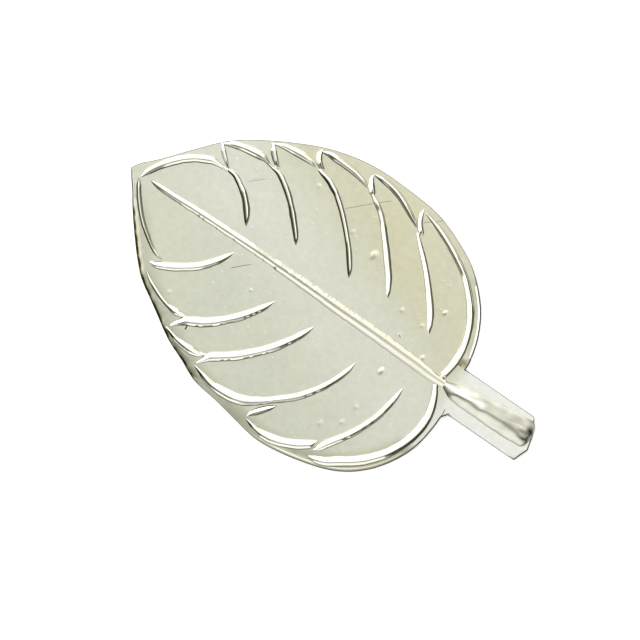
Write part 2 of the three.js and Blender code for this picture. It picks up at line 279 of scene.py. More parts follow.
def line_silver(name, smoothest, roughest):
    """Polished silver, darkened where the mesh carries painted shade and tarnish."""
    material, tree = new_material(name)
    place = add_node(tree, "ShaderNodeTexCoord").outputs["Object"]
    # White silver, a little yellower in patches, with olive black where the mesh carries painted shade and
    # tarnish.
    patches = add_node(tree, "ShaderNodeTexNoise", {},
                       {"Vector": place, "Scale": 1 / TARNISH_PATCH, "Detail": 3})
    bright = add_node(tree, "ShaderNodeMix", COLOURS,
                      {"Factor": patches.outputs["Fac"], FIRST: linear("#F2F3EC"), SECOND: linear("#E4E2D2")})
    foot = add_node(tree, "ShaderNodeAttribute", {"attribute_name": "painted_shade_and_tarnish"})
    colour = add_node(tree, "ShaderNodeMix", COLOURS,
                      {"Factor": foot.outputs["Fac"], FIRST: bright.outputs[MIXED],
                       SECOND: linear("#353320")})
    # Marks of the polish, which make the highlights waver.
    marks = add_node(tree, "ShaderNodeTexNoise", {},
                     {"Vector": place, "Scale": 1 / POLISH_MARK, "Detail": 2})
    rough = add_node(tree, "ShaderNodeMapRange", {},
                     {"Value": marks.outputs["Fac"], "To Min": smoothest, "To Max": roughest})
    bump = add_node(tree, "ShaderNodeBump", {},
                    {"Strength": 0.1, "Distance": RELIEF, "Height": marks.outputs["Fac"]})
    shader = add_node(tree, "ShaderNodeBsdfPrincipled", {},
                      {"Base Color": colour.outputs[MIXED], "Metallic": 1,
                       "Roughness": rough.outputs["Result"], "Normal": bump.outputs["Normal"]})
    add_node(tree, "ShaderNodeOutputMaterial", {}, {"Surface": shader.outputs["BSDF"]})
    print(name, "with", len(tree.nodes), "nodes")
    return material


wire_silver = line_silver("half-round silver wire, bright", 0.08, 0.18)
ridge_silver = line_silver("formed silver ridge, handled", 0.27, 0.39)

# %% [markdown]
# ## The lines of the leaf
# Every raised line has its place in a measured solid, as a few straight steps. The real lines were bent and
# hammered by hand: they swing, swell, and end blunt or in a point. That is read off the picture, as places
# with a width, in picture steps across and down. A vein of the upper half is two strokes, a hook at the
# margin and a run under it. A smooth curve joins the places. Each line is checked against its solid, and
# leaves it only at its ends, where some lap the next wire.

# %% The strokes of every line
PICTURE_STEPS = 640
STEP = VIEW_WIDTH / PICTURE_STEPS
RING_STEP = 0.13 * MM
# Each stroke is a list of places: steps across, steps down, and the line's width there.
LINES = {
    "midrib": [[(152.5, 181.5, 4), (160, 187.2, 7.4), (175, 197.3, 8.6), (200, 213.2, 10.2),
        (250, 246.5, 11.2), (280, 267.5, 12), (310, 288.4, 13.4), (340, 310, 14.4), (370, 330.8, 15.4),
        (400, 352.6, 15.6), (415, 363.4, 15.4), (430, 375, 14), (441, 382.4, 12.5), (448, 387, 8)]],
    "upper_margin_1": [[(141.5, 176.5, 2), (150, 170.4, 7.6), (161.5, 165, 8.6), (174, 161, 9),
        (186, 158.6, 9.2), (198, 158.3, 9), (211, 160, 8.8), (217, 163.2, 6.4), (223, 167, 4.4),
        (229, 170.5, 4), (235, 175, 5)]],
    "upper_margin_2": [[(224, 144, 3), (235, 144.8, 7.8), (247, 148.8, 9.4), (257, 153.5, 9.6),
        (262, 156.3, 9), (266, 160, 6), (269, 164, 3.6), (272, 167.5, 3), (276, 170.5, 3.5)]],
    "upper_margin_3": [[(274, 144, 2), (284, 146.2, 6.6), (292, 149.8, 8.4), (304, 156.2, 8.8),
        (311, 161.8, 6.6), (315, 166.5, 2)]],
    "upper_margin_4": [[(323.3, 152, 3), (330, 154.4, 6.4), (336.7, 158.8, 8.2), (344.7, 164.6, 7.8),
        (352.7, 170.6, 7.4), (359.3, 176.8, 6.8), (364.7, 183, 5), (367.5, 187.5, 2)]],
    "upper_margin_5": [[(375.5, 175, 3), (382, 179, 6.4), (392, 187.4, 7), (400.5, 197.6, 7),
        (408, 210, 6.4), (414, 221, 4.8), (416.5, 227, 2)]],
    "upper_margin_6": [[(427, 213.5, 3), (434, 222, 5), (440, 230, 6.4), (449.5, 245, 6.6),
        (457.5, 260, 6.8), (464.2, 275, 7.1), (467.8, 290, 8.2), (469.9, 305, 8.6), (469.8, 320, 8.3),
        (467, 335, 8.2), (461.9, 350, 8), (455.2, 361.5, 7.8), (449, 369, 7.6), (443.5, 374.5, 7.5)]],
    "upper_vein_1": [[(222, 144, 4), (223, 150, 5.5), (225.5, 160, 5), (228, 168, 3)],
        [(229, 170, 4), (235.2, 175.5, 5.8), (240.2, 185, 6.4), (244.1, 195, 7), (246, 205, 7.4),
        (246.6, 214, 6.8), (246.3, 221, 4.6), (246, 226, 1)]],
    "upper_vein_2": [[(272.5, 144, 4), (273.4, 151, 6.6), (275, 159.5, 6.4), (277.2, 166.5, 5)],
        [(272, 167.5, 3), (276, 170.6, 4.5), (280.1, 175, 6), (284.7, 185, 6.6), (288.4, 195, 6.6),
        (290.9, 205, 6.4), (292.8, 215, 7), (294.4, 225, 6.6), (295.6, 235, 5.4), (295.8, 240, 4.2),
        (295.8, 245, 1)]],
    "upper_vein_3": [[(321.5, 150.5, 4), (319, 155, 6.5), (319, 162, 7), (322, 169, 5)],
        [(318.5, 170, 2), (322, 173, 5), (328.4, 180, 6.4), (333, 188, 6.4), (336.6, 195, 6.2),
        (341.4, 210, 6.2), (344.8, 225, 6), (347.4, 240, 5.9), (348.7, 250, 6.1), (349.3, 260, 6.4),
        (349.5, 268, 5.4), (349.2, 273, 3.8), (348.8, 277.5, 1)]],
    "upper_vein_4": [[(372.5, 176, 3), (371, 181, 6.5), (370.8, 187, 8), (372, 193, 7)],
        [(372.5, 195, 4.5), (376.4, 203, 6.2), (380.4, 213, 6.4), (382.6, 224, 7.2), (384.3, 238, 7.8),
        (386, 252, 8.2), (387.1, 265, 8.4), (388.1, 276, 8), (387.9, 286, 7), (387.5, 293, 5.2),
        (387.2, 299, 1)]],
    "upper_vein_5": [[(423.5, 210, 2), (421, 215, 5), (419.5, 222, 6.5), (420, 229, 6.5), (421, 233, 6)],
        [(417.2, 234, 3.6), (418.9, 242, 4.8), (422.4, 256, 6.4), (425.3, 270, 7), (427.5, 285, 7.5),
        (429, 300, 8.1), (429.8, 311, 8.3), (429.6, 320, 7.6), (428.8, 328, 5.8), (428.3, 335.5, 1)]],
    "lower_margin_1": [[(139, 178, 2), (138.8, 185, 5), (139, 195, 5.5), (140, 205, 5.5),
        (141.5, 215, 5.5), (144, 225, 5.5), (147.5, 235, 5), (151, 244, 4.5), (154.5, 251, 4),
        (158.5, 256, 3), (162, 259.5, 1)]],
    "lower_margin_2": [[(146.5, 270, 1.5), (150, 279, 4), (154.5, 287, 5), (160, 295.5, 5), (166, 303, 5),
        (172, 308.5, 6.5), (177, 312, 8), (183, 315, 5), (188, 317.5, 2)]],
    "lower_margin_3": [[(166, 326.5, 2), (170.5, 331.5, 5), (175.5, 337.5, 6.5), (181, 342.5, 8),
        (187, 347, 9), (193, 351, 9.5), (199, 353.8, 7), (206, 354.3, 2)]],
    "lower_margin_5": [[(246.5, 419, 2), (251, 423.5, 5), (256.5, 429.5, 7.4), (263, 434.2, 9.6),
        (271, 438.3, 10.8), (280, 441.3, 10.8), (290, 443.2, 10.6), (300, 444.2, 10.6), (310, 443.6, 9.8),
        (316, 441.5, 4)]],
    "lower_margin_6": [[(309, 456, 3), (316, 459, 9), (326, 461, 11), (338, 460.8, 11.2),
        (350, 460.8, 11.2), (361, 460, 11.2), (372, 457.7, 10.8), (383, 454.4, 10.6), (394, 449.2, 10),
        (404.8, 442.6, 9.6), (414, 434.9, 9.6), (421.8, 426.1, 9.4), (427.9, 416.2, 9.2),
        (431.8, 405.3, 8.8), (434.1, 394.8, 7.6), (434.8, 386, 6.4)]],
    "lower_vein_1": [[(151, 262, 4), (158, 264.7, 8.4), (170, 266.3, 9.4), (183, 266.7, 9.4),
        (195, 266.2, 9.2), (205, 264.4, 9), (215, 261.3, 8.4), (222, 258.5, 7.2), (228, 255.4, 5.4),
        (234, 252.2, 1)]],
    "lower_vein_2": [[(171, 325, 3), (178, 322.5, 6.5), (186, 320.7, 10.4), (195, 321.5, 11.6),
        (205, 322.2, 11.2), (215, 321.4, 10.4), (225, 319.8, 9.8), (235, 317.6, 9.6), (245, 314.8, 9.2),
        (255, 311.1, 8.2), (262, 308, 7.4), (268, 304.9, 5.2), (275, 301, 1)]],
    "lower_vein_3": [[(197, 362.5, 2.5), (204, 359.5, 6.4), (211, 356.6, 10.2), (220, 356.3, 10.8),
        (231, 355.8, 10.8), (242, 354.6, 10.7), (253, 352.5, 10.5), (264, 350, 10.1), (275, 346.6, 9.9),
        (285, 342.5, 9.2), (295, 338, 8.2), (303, 333.5, 7), (309, 329.8, 4.6), (314, 326.3, 1)]],
    "lower_vein_4": [[(195, 365.5, 2), (199.5, 370.5, 5), (204.5, 376.5, 7), (210, 382.5, 9),
        (217, 388, 10.4), (226, 393.4, 11.2), (235, 397.7, 11.6), (245, 400.4, 11), (256, 400.8, 9.6),
        (266, 400.4, 8.4), (277, 399.3, 8.2), (288, 398, 8.4), (299, 395.8, 8.6), (310, 392.2, 8.2),
        (321, 387.6, 7.9), (331, 382.4, 7.4), (341, 375.7, 6.8), (349, 369.3, 5.4), (356, 362, 1)]],
    "lower_spur_4": [[(247.5, 415.5, 2), (252, 412.8, 6.4), (258.2, 410.9, 7.7), (264.2, 409.1, 7.2),
        (270.2, 407.4, 5.8), (277, 405.5, 1)]],
    "lower_vein_5": [[(314, 449.5, 3), (320, 447, 7.6), (328, 443, 9), (337, 439.3, 9.2),
        (347, 435.2, 8.8), (357, 430, 8.4), (367, 423.8, 7.8), (377, 416.6, 7.4), (386, 408.3, 7),
        (393, 400.7, 6.2), (398, 394.5, 4.8), (403, 387.8, 1)]],
}


def on_leaf(across, down, wide):
    """A place read off the picture, as x and y on the leaf with half the line's width."""
    middle = PICTURE_STEPS / 2
    place = VIEW_CENTRE + (RIGHT * (across - middle) - UPWARD * (down - middle)) * STEP
    return Vector((place.x, place.y, wide / 2 * STEP))


def curve_through(line):
    """Points on a smooth curve through the points of a line, in steps of about one length."""
    reach = [2 * line[0] - line[1], *line, 2 * line[-1] - line[-2]]
    points = []
    for before, start, end, after in zip(reach, reach[1:], reach[2:], reach[3:]):
        steps = max(2, round((end - start).xy.length / RING_STEP))
        points += interpolate_bezier(start, start + (end - before) / 6, end - (after - start) / 6, end,
                                     steps + 1)[:-1]
    return points + [line[-1]]


for node, strokes in LINES.items():
    places = [Vector((p.x, p.y, FACE)) for stroke in strokes for p in (on_leaf(*place) for place in stroke)]
    off = max((nodes[node].closest_point_on_mesh(p)[1] - p).length for p in places)
    print(node, "runs within", round(off / MM, 2), "mm of its solid")

# %% [markdown]
# ## A raised line
# A half-round wire can be a curve with a bevel, but a curve scales its section evenly and can't be worked
# afterwards. Here the section is an arc, spun from one vertex and closed by its flat side. It is extruded
# from point to point along the line, and each ring is carried to its own place and width. The ends close in
# a round nose. Hammer and file pushed the crests to one side, so each kind of line leans its own way.

# %% Sweep a half-round section along a line
ARC_STEPS = 18
SINK = 0.08 * MM
HAND_SWELL = 0.07
HAND_REACH = 0.6 * MM
NOSE = ((0.4, 0.92), (0.75, 0.66), (0.95, 0.31))


def with_noses(line, nose):
    """The line with a round nose added beyond each end, nose times as long as the end is half wide."""
    noses = []
    for end, before in ((line[0], line[1]), (line[-1], line[-2])):
        onward = (end - before).xy.normalized() * end.z * nose
        noses.append([Vector((*(end.xy + onward * far), end.z * share)) for far, share in NOSE])
    return noses[0][::-1] + line + noses[1]


def section_frames(line, height, widest, leans):
    """Where each section goes: X across the wire, Y along it, Z up and over to the side that it leans to."""
    frames = []
    for i, point in enumerate(line):
        forward = line[min(i + 1, len(line) - 1)] - line[max(i - 1, 0)]
        forward = Vector((forward.x, forward.y, 0)).normalized()
        place = Vector((point.x, point.y, FACE - SINK))
        half = point.z * (1 + HAND_SWELL * noise.noise(place / HAND_REACH))
        lean = leans[0].lerp(leans[1], i / (len(line) - 1))
        rise = (UP + lean) * (height * point.z / widest + SINK)
        axes = Matrix((UP.cross(forward) * half, forward * MM, rise))
        frames.append(Matrix.Translation(place) @ axes.transposed().to_4x4())
    return frames


def sweep(mesh, line, height, widest, leans, flank):
    """Adds a wire along the line to the mesh and gives its rings. A flank over 1 is hammered flatter."""
    frames = section_frames(line, height, widest, leans)
    others = set(mesh.verts)
    start = mesh.verts.new((1, 0, 0))
    bmesh.ops.spin(mesh, geom=[start], cent=(0, 0, 0), axis=(0, -1, 0), angle=math.pi, steps=ARC_STEPS)
    arc = [v for v in mesh.verts if v not in others]
    for vert in arc:
        vert.co = (math.copysign(abs(vert.co.x) ** flank, vert.co.x), 0, abs(vert.co.z) ** flank)
    bmesh.ops.contextual_create(mesh, geom=[v for v in arc if len(v.link_edges) == 1])
    bmesh.ops.transform(mesh, matrix=frames[0], verts=arc)
    ring, rings = list({e for v in arc for e in v.link_edges}), [arc]
    for here, there in zip(frames, frames[1:]):
        grown = bmesh.ops.extrude_edge_only(mesh, edges=ring)["geom"]
        ring = [g for g in grown if isinstance(g, bmesh.types.BMEdge)]
        rings.append([g for g in grown if isinstance(g, bmesh.types.BMVert)])
        bmesh.ops.transform(mesh, matrix=there @ here.inverted(), verts=rings[-1])
    bmesh.ops.holes_fill(mesh, edges=[e for e in mesh.edges if e.is_boundary])
    return rings


print("a section is an arc of", ARC_STEPS, "steps")


# %% Tarnish on a line, and the finished piece
# The sides turned up and to the left face the light, so the painted foot shade spares them.
LIT_ABOVE = 1.8
LIT_LEFT = 2
LEFT_ENOUGH = 0.5
# The sides that take a painted warm reflection, on the warm half of the leaf.
PAINTED_WARM_SIDE = (0.57 * RIGHT + 0.82 * UPWARD).normalized()
PAINTED_WARM_REACH = 0.5 * MM, 4 * MM
SIDE_SHADE_FADE = 0.05
SIDE_SHADE_BORDER = 0.6
CRISP_ANGLE = math.radians(50)


def ramp(value, low, high):
    """From 0 at low to 1 at high."""
    return min(1, max(0, (value - low) / (high - low)))


def paint_foot_shade(mesh, rings, painted_shade_and_tarnish, foot, foot_from, painted_warm_most):
    """Painted shade and tarnish from 0 to 1 at each vertex: most at the foot, least on the sides turned to
    the light.
    """
    bmesh.ops.recalc_face_normals(mesh, faces=mesh.faces)
    mesh.normal_update()
    for i, ring in enumerate(rings):
        most = foot[0] + (foot[1] - foot[0]) * i / (len(rings) - 1)
        top = max(v.co.z for v in ring)
        for vert in ring:
            low = 1 - ramp(vert.co.z, FACE, top)
            leftward = max(0, -vert.normal.dot(RIGHT) - LEFT_ENOUGH)
            lighter_share = min(1, LIT_ABOVE * max(0, vert.normal.dot(UPWARD)) + LIT_LEFT * leftward)
            at_foot = most * ramp(low, foot_from, (1 + foot_from) / 2) * (1 - lighter_share)
            on_warm_half = ramp((vert.co - VIEW_CENTRE).dot(RIGHT), *PAINTED_WARM_REACH)
            painted_warmth = painted_warm_most * max(0, vert.normal.dot(PAINTED_WARM_SIDE)) * on_warm_half
            vert[painted_shade_and_tarnish] = min(1, at_foot + painted_warmth)


def paint_side_shade(rings, painted_shade_and_tarnish, side, start, end, least, most):
    """Painted shade on one side of one part of a line: from start to end, on what faces that way by so much.
    """
    for i, ring in enumerate(rings):
        share = i / (len(rings) - 1)
        here = ramp(share, start - SIDE_SHADE_FADE, start) * (1 - ramp(share, end, end + SIDE_SHADE_FADE))
        for vert in ring:
            facing = ramp(vert.normal.dot(side), least, least + SIDE_SHADE_BORDER)
            vert[painted_shade_and_tarnish] = max(vert[painted_shade_and_tarnish], min(1, most * here * facing))


def finished(mesh, node, materials):
    """The mesh as a piece that stands for a node: smooth, but crisp where it meets the sheet."""
    bmesh.ops.recalc_face_normals(mesh, faces=mesh.faces)
    for face in mesh.faces:
        face.smooth = True
    for edge in mesh.edges:
        edge.smooth = not edge.is_manifold or edge.calc_face_angle() < CRISP_ANGLE
    data = bpy.data.meshes.new(node + "_worked")
    mesh.to_mesh(data)
    mesh.free()
    for material in materials:
        data.materials.append(material)
    piece = bpy.data.objects.new(node + "_worked", data)
    bpy.context.scene.collection.objects.link(piece)
    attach(piece, "root")
    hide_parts(node)
    return piece


# The warm tint on these sides is a painted warm reflection.
print("straw tarnish on what faces", [round(c, 2) for c in PAINTED_WARM_SIDE])

# %% [markdown]
# ## Hammer, chasing tool and painted shade
# No two lines were worked alike. The hammer pushed a crest to one side and flattened its flanks, a chasing
# tool left small notches along some feet, and shade is painted dark on one side here and another there. All
# that could be painted by hand on each mesh. Three tables say it better, because a line keeps its work when
# its places change. The first one is searched for the first name that a line's name starts with.

# %% How each line was hammered
# The crest leans from lean to lean_on and a flank over 1 is flatter. The foot is painted shade and tarnish,
# and the crest a dark line painted along its top, each given at the line's two ends. The foot's starts at
# foot_from, as a share of the way down. The warmth is a painted warm reflection on the sides facing the
# warm card.
PLAIN = {"lean": -0.2 * UPWARD, "flank": 1.12, "foot": (1, 1), "foot_from": 0.4, "painted_warmth": 0, "crest": (0, 0)}
HOOK = {**PLAIN, "lean": 0.4 * RIGHT, "flank": 1.25, "foot": (0.25, 0.25)}
HAMMERED = {
    "midrib": {"lean": -0.25 * UPWARD, "lean_on": 0.34 * UPWARD, "flank": 1.85, "foot": (1, 0.5),
               "foot_from": 0.62, "painted_warmth": 0.04, "crest": (0.9, 0.35)},
    "upper_vein_4": {"lean": 0.2 * RIGHT, "lean_on": 0.42 * RIGHT, "flank": 1.33, "foot": (0.6, 0.3)},
    "upper_vein_5": {"lean": 0.42 * RIGHT, "flank": 1.33, "foot": (0.3, 0.3)},
    "upper_vein": {"lean": 0.05 * RIGHT, "flank": 0.9},
    "upper_margin_6": {"lean": -0.2 * RIGHT - 0.1 * UPWARD, "lean_on": 0.4 * RIGHT - 0.2 * UPWARD,
                       "flank": 1.05, "painted_warmth": 0.3},
    "upper_margin": {"lean": Vector(), "painted_warmth": 0.4},
    "lower_margin_6": {"lean_on": 0.4 * RIGHT - 0.2 * UPWARD, "flank": 1.2},
    "lower": {},
}
print(len(HAMMERED), "ways of hammering a line")

# %% Where shade is painted on the sides of lines, and where the chasing tool left its marks
LEFT, DOWN = -RIGHT, -UPWARD
OUTSIDE = (LEFT + DOWN).normalized()
STEMWARD = (RIGHT + DOWN).normalized()
# A painted shade has the stroke that it is on, its side, its start and end as shares of the stroke, how far a
# place has to face that side, and its darkness. A darkness over 1 gives it a sharper border.
SIDE_SHADES = {
    "midrib": [(0, DOWN, 0, 0.09, -0.1, 0.6)],
    "upper_margin_1": [(0, DOWN, 0, 0.25, -0.1, 0.75)],
    "upper_margin_2": [(0, DOWN, 0, 0.3, 0, 0.6), (0, DOWN, 0.6, 1, -0.1, 0.6)],
    "upper_margin_3": [(0, DOWN, 0.5, 1, 0, 0.4)],
    "upper_margin_4": [(0, DOWN, 0.1, 1, -0.1, 0.5)],
    "upper_margin_5": [(0, DOWN, 0.1, 1, -0.1, 0.4)],
    "upper_margin_6": [(0, RIGHT, 0.6, 1, 0.1, 0.9)],
    "upper_vein_1": [(0, LEFT, 0.35, 0.85, 0.1, 0.8), (1, LEFT, 0, 1, 0, 1.2),
                     (1, LEFT, 0.45, 0.95, -0.05, 2), (1, RIGHT, 0.2, 1, 0.2, 0.7)],
    "upper_vein_2": [(0, LEFT, 0.35, 0.75, 0.1, 0.9), (1, LEFT, 0, 1, 0, 1.4),
                     (1, LEFT, 0.55, 0.85, -0.05, 2), (1, RIGHT, 0.2, 1, 0.2, 0.7)],
    "upper_vein_3": [(0, RIGHT, 0.2, 0.9, 0.3, 0.9), (1, LEFT, 0, 1, 0.1, 1.4),
                     (1, LEFT, 0.7, 0.95, 0, 2), (1, RIGHT, 0.2, 1, 0.2, 0.6)],
    "upper_vein_4": [(0, RIGHT, 0.2, 0.9, 0.3, 0.9), (1, LEFT, 0, 0.3, 0.3, 0.8),
                     (1, RIGHT, 0.35, 1, 0.3, 0.9)],
    "upper_vein_5": [(0, RIGHT, 0.2, 0.9, 0.3, 0.9), (1, RIGHT, 0.1, 1, 0.3, 0.9)],
    "lower_margin_1": [(0, LEFT, 0, 1, 0, 1)],
    "lower_margin_2": [(0, LEFT, 0, 0.7, 0, 0.9)],
    "lower_margin_3": [(0, OUTSIDE, 0.12, 0.28, -0.3, 1)],
    "lower_margin_5": [(0, OUTSIDE, 0.04, 0.14, -0.3, 1)],
    "lower_margin_6": [(0, RIGHT, 0.7, 1, 0.1, 0.8), (0, STEMWARD, 0.5, 0.78, 0.15, 1.1)],
    "lower_vein_1": [(0, DOWN, 0.62, 1, 0, 0.7)],
    "lower_vein_2": [(0, DOWN, 0.12, 0.16, 0, 0.9), (0, DOWN, 0.5, 1, -0.1, 0.5)],
    "lower_vein_3": [(0, DOWN, 0.62, 1, 0, 0.5)],
    "lower_vein_4": [(0, OUTSIDE, 0.04, 0.08, -0.3, 1), (0, DOWN, 0.36, 0.85, -0.1, 0.5)],
    "lower_spur_4": [(0, DOWN, 0.15, 0.9, -0.1, 0.8)],
}
# Notches have their side, their start and end, how many rings one mark takes, its chance, and its painted
# shade.
NOTCHED = {
    "midrib": [(UPWARD, 0.45, 0.78, 1, 0.3, 0.3), (DOWN, 0.1, 0.42, 2, 0.3, 0.6)],
    "lower_vein_2": [(DOWN, 0.2, 0.8, 2, 0.35, 0.8)],
    "lower_vein_3": [(DOWN, 0.2, 0.8, 2, 0.35, 0.8)],
    "lower_vein_4": [(DOWN, 0.42, 0.85, 3, 0.5, 0.9)],
    "lower_vein_5": [(DOWN, 0.2, 0.8, 3, 0.4, 0.8)],
}
print("stains on", len(SIDE_SHADES), "lines and notches on", len(NOTCHED))

# %% The veins, the margin strokes and the midrib
LINE_NOSE = 0.8
CREST_LINE = 0.08, 0.3
NOTCH_DEPTH = 0.022 * MM
NOTCH_DARK = 0.35, 0.75


def notch(rings, painted_shade_and_tarnish, side, start, end, long, chance, most):
    """Small marks of the chasing tool along one foot of a wire, with tarnish and shade painted dark in them.
    """
    marks = random.Random(len(rings))
    notched = [marks.random() < chance for _ in rings]
    for i in range(round(start * len(rings)), round(end * len(rings))):
        if notched[i // long]:
            ring = rings[i]
            middle = sum((v.co for v in ring), Vector()) / len(ring)
            reach = max((v.co - middle).dot(side) for v in ring)
            for vert in ring:
                outward = max(0, (vert.co - middle).dot(side) / reach)
                vert.co -= (side + UP) * NOTCH_DEPTH * outward
                vert[painted_shade_and_tarnish] = max(vert[painted_shade_and_tarnish], most * ramp(outward, *NOTCH_DARK))


def line_up(mesh, painted_shade_and_tarnish, line, height, widest, work):
    """One stroke of a line, hammered, with painted shade and tarnish, as its rings."""
    leans = work["lean"], work.get("lean_on", work["lean"])
    rings = sweep(mesh, with_noses(curve_through(line), LINE_NOSE), height, widest, leans, work["flank"])
    paint_foot_shade(mesh, rings, painted_shade_and_tarnish, work["foot"], work["foot_from"], work["painted_warmth"])
    # A dark line painted along the crest.
    first, last = work["crest"]
    for i, ring in enumerate(rings):
        crest = first + (last - first) * i / (len(rings) - 1)
        top = max(v.co.z for v in ring)
        for vert in ring:
            below = (top - vert.co.z) / (top - FACE)
            vert[painted_shade_and_tarnish] = max(vert[painted_shade_and_tarnish], crest * (1 - ramp(below, *CREST_LINE)))
    return rings


for node, strokes in LINES.items():
    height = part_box(node)[1].z - FACE
    lines = [[on_leaf(*place) for place in stroke] for stroke in strokes]
    widest = max(point.z for line in lines for point in line)
    work = PLAIN | next(work for kind, work in HAMMERED.items() if node.startswith(kind))
    mesh = bmesh.new()
    painted_shade_and_tarnish = mesh.verts.layers.float.new("painted_shade_and_tarnish")
    swept = []
    for line in lines:
        swept.append(line_up(mesh, painted_shade_and_tarnish, line, height, widest, work if line is lines[-1] else HOOK))
    for stroke, *where in SIDE_SHADES.get(node, []):
        paint_side_shade(swept[stroke], painted_shade_and_tarnish, *where)
    for where in NOTCHED.get(node, []):
        notch(swept[-1], painted_shade_and_tarnish, *where)
    piece = finished(mesh, node, [wire_silver])
    print(node, len(piece.data.vertices), "vertices")

# %% [markdown]
# ## The stem ridge
# The ridge along the tab is the same half-round form, twice as wide. Its root runs in under the rounded end
# of the midrib, and its outer end is dressed off short. It was formed over a punch by hand, so its surface
# isn't quite even. Its reflections and shade are painted on in streaky bands by the way each place faces:
# beige on the far side, dull along the crest, olive on the near side and darkest at the outer end.

# %% The ridge
RIDGE = ((445, 384.5, 8), (450, 388, 14), (456, 392.2, 19), (465, 397.7, 22), (477.5, 405, 24.5),
         (495, 415.6, 27), (513, 426.2, 28.5), (527, 434.4, 28))
RIDGE_NOSE = 0.4
RIDGE_FLANK = 1.2
HAND_DEPTH = 0.1 * MM
ONWARD = (0.85 * RIGHT - 0.52 * UPWARD).normalized()
ASIDE = ONWARD.cross(UP)
STREAK_LENGTH = 1.2 * MM
STREAK_WIDTH = 0.5 * MM
# Painted reflection and shade by how far a place faces aside: the middle and reach of a band, or where a
# ramp starts and ends.
BEIGE_BAND = -0.5, 0.35
BROKEN_BAND = -0.1, 0.4
DULL_BAND = -0.18, 0.45
OLIVE_START = -0.15, 0.25
OLIVE_END = 0.3, 0.45
NEAR_FLANK = 0.35, 0.5
NEAR_FOOT = 0.45, 0.6
# And by the share of the ridge's length, from its root.
ROOT_STRETCH = 0.1, 0.4
END_STRETCH = 0.65, 0.95
DULL_STRETCH = 0.38, 0.5
OUTER_STRETCH = 0.84, 0.94


def streaky(place):
    """Noise that is drawn out along the ridge."""
    return noise.noise(Vector((place.dot(ONWARD) / STREAK_LENGTH, place.dot(ASIDE) / STREAK_WIDTH, 0)))


def band(value, middle, reach):
    """1 at the middle of a band, falling to 0 on both sides."""
    return max(0, 1 - abs(value - middle) / reach)


def ridge_painted_shade(facing, share, streak):
    """The darkest painted shade at a place. Each has its own strength, and what the streaks add to it."""
    ends = max(1 - ramp(share, *ROOT_STRETCH), ramp(share, *END_STRETCH))
    beige = band(facing, *BEIGE_BAND) * (0.36 + 0.5 * streak + 0.2 * share)
    broken = band(facing, *BROKEN_BAND) * max(0, 0.05 - 1.1 * streak)
    dull = min(1, 1.8 * band(facing, *DULL_BAND)) * ramp(share, *DULL_STRETCH) * (0.55 + 0.25 * streak)
    olive = ramp(facing, *OLIVE_START) * (1 - ramp(facing, *OLIVE_END)) * (0.85 + 0.6 * streak)
    olive *= 0.25 + 0.5 * ends
    outer = ramp(share, *OUTER_STRETCH) * (1 - ramp(facing, *NEAR_FOOT)) * (0.75 + 0.5 * streak)
    pale = 0.13 * ramp(facing, *NEAR_FLANK)
    return max(beige, broken, dull, olive, outer, pale)


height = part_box("stem_ridge")[1].z - FACE
line = [on_leaf(*place) for place in RIDGE]
mesh = bmesh.new()
painted_shade_and_tarnish = mesh.verts.layers.float.new("painted_shade_and_tarnish")
rings = sweep(mesh, with_noses(curve_through(line), RIDGE_NOSE), height, max(point.z for point in line),
              (Vector(), Vector()), RIDGE_FLANK)
paint_foot_shade(mesh, rings, painted_shade_and_tarnish, foot=(0.9, 0.9), foot_from=0.8, painted_warm_most=0.1)
for i, ring in enumerate(rings):
    share = i / (len(rings) - 1)
    for vert in ring:
        painted_bands = ridge_painted_shade(vert.normal.dot(ASIDE), share, streaky(vert.co))
        vert[painted_shade_and_tarnish] = max(vert[painted_shade_and_tarnish], painted_bands)
# Painted shade on the outer end's face and under the midrib's end at the root.
paint_side_shade(rings, painted_shade_and_tarnish, ONWARD, start=0.83, end=1, least=0, most=0.75)
paint_side_shade(rings, painted_shade_and_tarnish, ASIDE, start=0, end=0.13, least=-0.2, most=0.6)
for vert in mesh.verts:
    if vert.co.z > FACE:
        vert.co.z += HAND_DEPTH * streaky(vert.co) * (vert.co.z - FACE) / height
ridge = finished(mesh, "stem_ridge", [ridge_silver])
print("ridge", len(ridge.data.vertices), "vertices")

# %% [markdown]
# ## The blade
# The blade starts as the outline of its solid: the top face is kept, its long edges are divided evenly and
# its hand-cut corners softened. Insetting that face a few times gives rings along the edge. They are lifted
# into the burr that shears leave at the bottom, dropped where the left edge is worn, and raised to a lip on
# the right. The lip and the burr take the bright wire silver: polish, with a painted highlight along the rim.

# %% The outline of the blade
WELD = 0.001 * MM
LEVEL_NORMAL = 0.99
EDGE_STEP = 0.2 * MM
SOFTENING = 5
CORNER_TURN = math.radians(22)
CORNER_ROOM = 0.35 * MM

mesh = bmesh.new()
mesh.from_mesh(nodes["blade"].data)
painted_shade_and_tarnish = mesh.verts.layers.float.new("painted_shade_and_tarnish")
bmesh.ops.remove_doubles(mesh, verts=mesh.verts, dist=WELD)
mesh.normal_update()
bmesh.ops.delete(mesh, geom=[f for f in mesh.faces if f.normal.z < LEVEL_NORMAL], context="FACES")
bmesh.ops.dissolve_faces(mesh, faces=mesh.faces[:])
corners = [v.co.copy() for v in mesh.verts if v.calc_edge_angle() > CORNER_TURN]
for edge in mesh.edges[:]:
    cuts = round(edge.calc_length() / EDGE_STEP) - 1
    if cuts > 0:
        bmesh.ops.subdivide_edges(mesh, edges=[edge], cuts=cuts)


def corner_distance(vert):
    return min((vert.co - corner).length for corner in corners)


